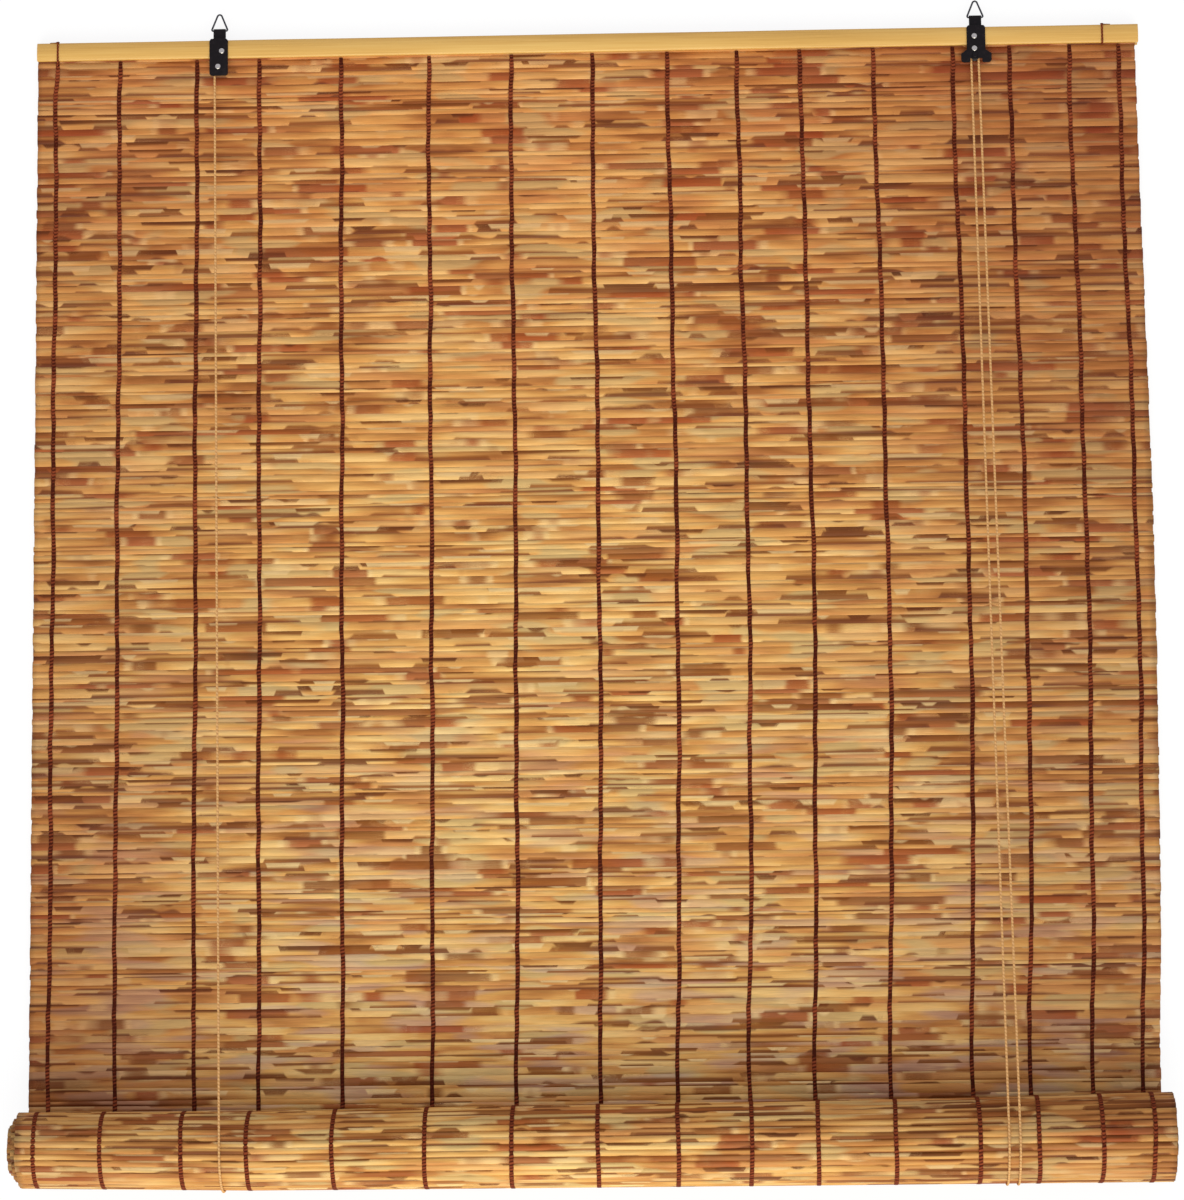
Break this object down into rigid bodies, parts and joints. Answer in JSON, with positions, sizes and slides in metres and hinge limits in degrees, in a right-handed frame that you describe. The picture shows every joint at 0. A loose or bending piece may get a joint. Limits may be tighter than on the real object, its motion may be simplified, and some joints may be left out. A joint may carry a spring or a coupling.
{
  "type": "bamboo roller blind",
  "caption": "Roll-up reed blind: horizontal reeds stitched by warp threads under a bamboo head slat, lower part wound in a front roll, lift cords and ring hangers.",
  "frame": {"origin": "on the floor under the middle of the blind's bounding box, the blind lying face up", "axes": "+X across the blind, +Y along its drop from the roll to the head and the rings, +Z out of its face, up from the floor"},
  "size_m": [1.2, 1.2786, 0.0948],
  "materials": {
    "reed": "dried reed stems, smoke-browned in patches, satin",
    "bamboo_slat": "split bamboo, planed and clear, satin",
    "warp_thread": "twisted polyester thread, dark maroon, matt",
    "lift_cord": "thin twisted cord, cream yellow, matt",
    "hanger_steel": "black enamelled steel strap, satin",
    "ring_wire": "darkened steel wire, satin",
    "rivet_steel": "nickel-plated rivet heads, bright",
    "pulley": "moulded nylon, black"
  },
  "bodies": {
    "headrail": {"front_slat": "bamboo_slat", "back_slat": "bamboo_slat", "rail_tie_left": "warp_thread", "rail_tie_right": "warp_thread", "flat_reeds": "reed", "flat_threads_front": "warp_thread", "flat_threads_back": "warp_thread", "hanger_left": "hanger_steel", "hanger_right": "hanger_steel", "rivet_left_1": "rivet_steel", "rivet_right_1": "rivet_steel", "rivet_right_2": "rivet_steel", "axle_left": "rivet_steel", "axle_right": "hanger_steel", "cord_bight_front_left": "lift_cord", "cord_bight_front_right": "lift_cord", "cord_bight_back_left": "lift_cord", "cord_bight_back_right": "lift_cord", "cord_front_left": "lift_cord", "cord_front_right_inner": "lift_cord", "cord_front_right_outer": "lift_cord", "cord_back_left": "lift_cord", "cord_back_right_inner": "lift_cord", "cord_back_right_outer": "lift_cord"},
    "slings": {"cord_sling_left": "lift_cord", "cord_sling_right_inner": "lift_cord", "cord_sling_right_outer": "lift_cord"},
    "roll": {"roll_reeds": "reed", "roll_threads": "warp_thread", "bottom_slat": "bamboo_slat"},
    "left_ring": {"ring_left": "ring_wire"},
    "right_ring": {"ring_right": "ring_wire"},
    "left_pulley": {"pulley_left": "pulley"},
    "right_pulley": {"pulley_right": "pulley"}
  },
  "joints": [
    {"name": "roll_rise", "type": "slide", "parent": "headrail", "child": "slings", "axis": [0, 1, 0], "range_m": [0, 1.08], "deforming": ["flat_reeds", "flat_threads_front", "flat_threads_back", "cord_front_left", "cord_front_right_inner", "cord_front_right_outer", "cord_back_left", "cord_back_right_inner", "cord_back_right_outer"]},
    {"name": "roll_spin", "type": "hinge", "parent": "slings", "child": "roll", "pos_m": [0, -0.5919, 0.0474], "axis": [1, 0, 0], "range_deg": [-1081, 1]},
    {"name": "left_ring_swing", "type": "hinge", "parent": "headrail", "child": "left_ring", "pos_m": [-0.4004, 0.6202, 0.009], "axis": [1, 0, 0], "range_deg": [-95, 95]},
    {"name": "right_ring_swing", "type": "hinge", "parent": "headrail", "child": "right_ring", "pos_m": [0.4244, 0.6202, 0.009], "axis": [1, 0, 0], "range_deg": [-95, 95]},
    {"name": "left_pulley_spin", "type": "hinge", "parent": "headrail", "child": "left_pulley", "pos_m": [-0.4012, 0.5778, 0.014], "axis": [0, 0, 1], "continuous": true},
    {"name": "right_pulley_spin", "type": "hinge", "parent": "headrail", "child": "right_pulley", "pos_m": [0.4229, 0.5758, 0.014], "axis": [0, 0, 1], "continuous": true}
  ],
  "couplings": [
    {"joint": "roll_spin", "follows": "roll_rise", "rad_per_m": -17.453}
  ]
}
